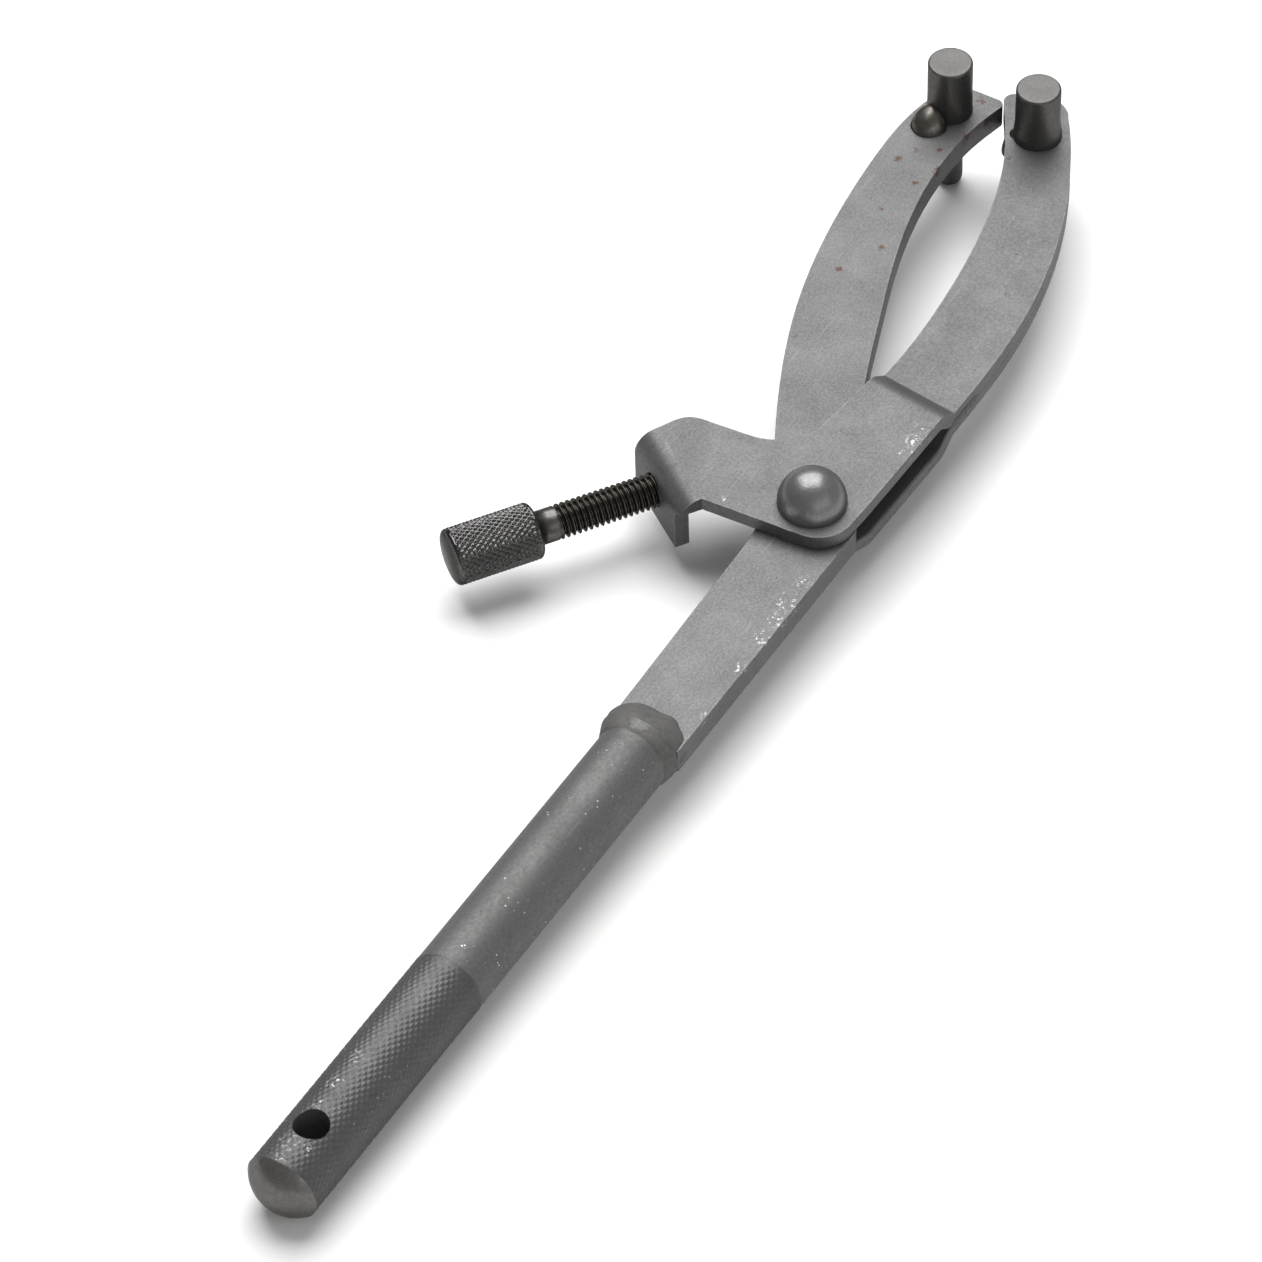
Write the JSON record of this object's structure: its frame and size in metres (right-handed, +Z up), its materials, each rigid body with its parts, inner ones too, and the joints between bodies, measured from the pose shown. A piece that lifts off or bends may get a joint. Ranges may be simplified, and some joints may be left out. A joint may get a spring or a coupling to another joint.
{
  "type": "adjustable two-pin holding wrench",
  "caption": "Steel two-pin holding wrench with a knurled round handle, a fixed curved jaw, a riveted swinging jaw and a thumb screw that sets the pin spacing.",
  "frame": {"origin": "centre of the handle's hanging hole, on the handle's axis at the fixed arm's mid-thickness", "axes": "+X along the handle towards the jaws, +Y towards the thumb screw, +Z up along the hanging hole, the way the large pins point"},
  "size_m": [0.2627, 0.0592, 0.0272],
  "materials": {
    "tumbled_steel": "satin",
    "turned_steel": "satin",
    "weld_metal": "satin",
    "dark_steel": "satin"
  },
  "bodies": {
    "handle_side": {"handle": "turned_steel", "handle_weld": "weld_metal", "fixed_arm": "tumbled_steel", "fixed_jaw_pin": "turned_steel", "fixed_pin_tack": "weld_metal"},
    "swing_jaw": {"upper_jaw_plate": "tumbled_steel", "lower_jaw_plate": "tumbled_steel", "pivot_rivet": "tumbled_steel", "swing_jaw_pin": "turned_steel", "swing_pin_tack": "weld_metal", "seam_weld": "weld_metal"},
    "screw_nose": {"screw_tip": "dark_steel"},
    "screw": {"thumb_screw": "dark_steel"}
  },
  "joints": [
    {"name": "jaw_pivot", "type": "hinge", "parent": "handle_side", "child": "swing_jaw", "pos_m": [0.1465, 0.0016, 0], "axis": [0, 0, 1], "range_deg": [-45.1, 0]},
    {"name": "screw_travel", "type": "slide", "parent": "swing_jaw", "child": "screw_nose", "axis": [-0.8251, 0.565, 0], "range_m": [0, 0.01468]},
    {"name": "screw_turn", "type": "hinge", "parent": "screw_nose", "child": "screw", "pos_m": [0.1172, 0.04394, -0.0009], "axis": [-0.8251, 0.565, 0], "range_deg": [0, 5290]}
  ],
  "couplings": [
    {"joint": "jaw_pivot", "follows": "screw_travel", "rad_per_m": -53.476},
    {"joint": "screw_turn", "follows": "screw_travel", "rad_per_m": 6283.2}
  ]
}
